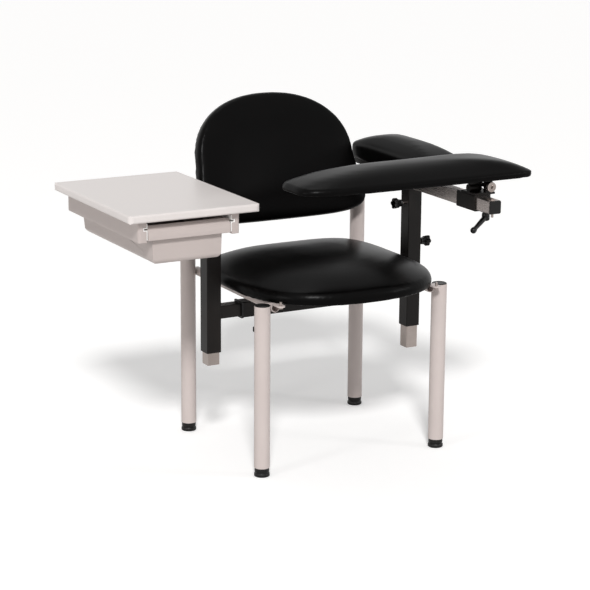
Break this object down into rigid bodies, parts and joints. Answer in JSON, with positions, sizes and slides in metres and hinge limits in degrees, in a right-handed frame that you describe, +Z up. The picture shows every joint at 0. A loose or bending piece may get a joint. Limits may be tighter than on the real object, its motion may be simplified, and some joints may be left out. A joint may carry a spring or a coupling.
{
  "type": "phlebotomy chair",
  "caption": "Blood-draw chair with a padded seat and back, a side table with a drawer, and a padded arm that slides, swivels and flips up.",
  "frame": {"origin": "on the floor, under the middle of the chair's box", "axes": "+X to the flip arm's side (the seated person's left), +Y towards the backrest, +Z up"},
  "size_m": [0.9946, 0.6654, 0.8438],
  "materials": {
    "frame_coat": "satin",
    "black_coat": "satin",
    "zinc": "bright zinc",
    "black_plastic": "matt",
    "vinyl": "soft sheen",
    "plywood": "raw",
    "laminate": "satin",
    "moulded_grey": "satin",
    "grey_coat": "satin",
    "nylon": "smooth",
    "steel": "bright"
  },
  "bodies": {
    "frame": {"front_leg_left": "frame_coat", "front_leg_right": "frame_coat", "rear_leg_left": "frame_coat", "rear_leg_right": "frame_coat", "front_leg_caps": "black_plastic", "rear_leg_caps": "black_plastic", "glide_front_left": "black_plastic", "glide_front_right": "black_plastic", "glide_rear_left": "black_plastic", "glide_rear_right": "black_plastic", "side_rail_left": "frame_coat", "side_rail_right": "frame_coat", "rear_cross_rail": "frame_coat", "seat_tabs": "frame_coat", "receiver_tube": "black_coat", "receiver_collars": "black_plastic", "receiver_hangers": "black_coat", "seat_board": "plywood", "seat_cushion": "vinyl", "seat_screws": "steel", "back_cross_tube": "frame_coat", "back_tabs": "frame_coat", "back_board": "plywood", "back_cushion": "vinyl", "back_screws": "steel"},
    "left_carriage": {"left_slide_arm": "black_coat", "left_post": "black_coat"},
    "left_column": {"left_inner_tube": "zinc", "table_support": "frame_coat", "tabletop": "laminate", "drawer_rail_left": "grey_coat", "drawer_rail_right": "grey_coat", "drawer_runners": "nylon", "table_screws": "steel"},
    "table_drawer": {"drawer": "moulded_grey"},
    "right_carriage": {"right_slide_arm": "black_coat", "right_post": "black_coat"},
    "right_column": {"right_inner_tube": "zinc", "arm_rail": "zinc", "arm_rail_caps": "black_plastic", "rail_stop_bolt": "steel", "rear_arm_board": "plywood", "rear_arm_cushion": "vinyl", "rear_arm_brackets": "black_coat", "rear_arm_screws": "steel"},
    "sleeve": {"arm_sleeve": "black_coat", "swivel_bolt": "steel"},
    "swivel": {"hinge_base": "black_coat", "hinge_bolt": "steel"},
    "flip_arm": {"hinge_leaf": "black_coat", "flip_board": "plywood", "flip_cushion": "vinyl", "flip_screws": "steel"},
    "lever": {"clamp_lever": "black_plastic"},
    "left_receiver_knob": {"left_receiver_knob": "black_plastic"},
    "left_outer_knob": {"left_outer_knob": "black_plastic"},
    "left_inner_knob": {"left_inner_knob": "black_plastic"},
    "right_receiver_knob": {"right_receiver_knob": "black_plastic"},
    "right_outer_knob": {"right_outer_knob": "black_plastic"},
    "right_inner_knob": {"right_inner_knob": "black_plastic"}
  },
  "joints": [
    {"name": "left_width", "type": "slide", "parent": "frame", "child": "left_carriage", "axis": [-1, 0, 0], "range_m": [0, 0.06]},
    {"name": "left_height", "type": "slide", "parent": "left_carriage", "child": "left_column", "axis": [0, 0, 1], "range_m": [-0.005, 0.1]},
    {"name": "drawer_slide", "type": "slide", "parent": "left_column", "child": "table_drawer", "axis": [0, -1, 0], "range_m": [0, 0.3]},
    {"name": "right_width", "type": "slide", "parent": "frame", "child": "right_carriage", "axis": [1, 0, 0], "range_m": [0, 0.06]},
    {"name": "right_height", "type": "slide", "parent": "right_carriage", "child": "right_column", "axis": [0, 0, 1], "range_m": [0, 0.1]},
    {"name": "sleeve_slide", "type": "slide", "parent": "right_column", "child": "sleeve", "axis": [0, -1, 0], "range_m": [0, 0.04]},
    {"name": "arm_swivel", "type": "hinge", "parent": "sleeve", "child": "swivel", "pos_m": [0.4053, -0.25167, 0.65692], "axis": [0, 0, -1], "range_deg": [-90, 12]},
    {"name": "arm_flip", "type": "hinge", "parent": "swivel", "child": "flip_arm", "pos_m": [0.4003, -0.24266, 0.67592], "axis": [0, 1, 0], "range_deg": [0, 90]},
    {"name": "lever_turn", "type": "hinge", "parent": "sleeve", "child": "lever", "pos_m": [0.4053, -0.25167, 0.6], "axis": [0, 0, -1], "range_deg": [-60, 60]},
    {"name": "left_receiver_knob_turn", "type": "hinge", "parent": "frame", "child": "left_receiver_knob", "pos_m": [-0.0563, 0.04333, 0.303], "axis": [0, 0, -1], "continuous": true},
    {"name": "left_outer_knob_turn", "type": "hinge", "parent": "left_carriage", "child": "left_outer_knob", "pos_m": [-0.2254, 0.04333, 0.532], "axis": [-1, 0, 0], "continuous": true},
    {"name": "left_inner_knob_turn", "type": "hinge", "parent": "left_carriage", "child": "left_inner_knob", "pos_m": [-0.1473, 0.04333, 0.583], "axis": [1, 0, 0], "continuous": true},
    {"name": "right_receiver_knob_turn", "type": "hinge", "parent": "frame", "child": "right_receiver_knob", "pos_m": [0.2477, 0.08238, 0.3625], "axis": [0, 1, 0], "continuous": true},
    {"name": "right_outer_knob_turn", "type": "hinge", "parent": "right_carriage", "child": "right_outer_knob", "pos_m": [0.4168, 0.04333, 0.479], "axis": [1, 0, 0], "continuous": true},
    {"name": "right_inner_knob_turn", "type": "hinge", "parent": "right_carriage", "child": "right_inner_knob", "pos_m": [0.3387, 0.04333, 0.583], "axis": [-1, 0, 0], "continuous": true}
  ]
}
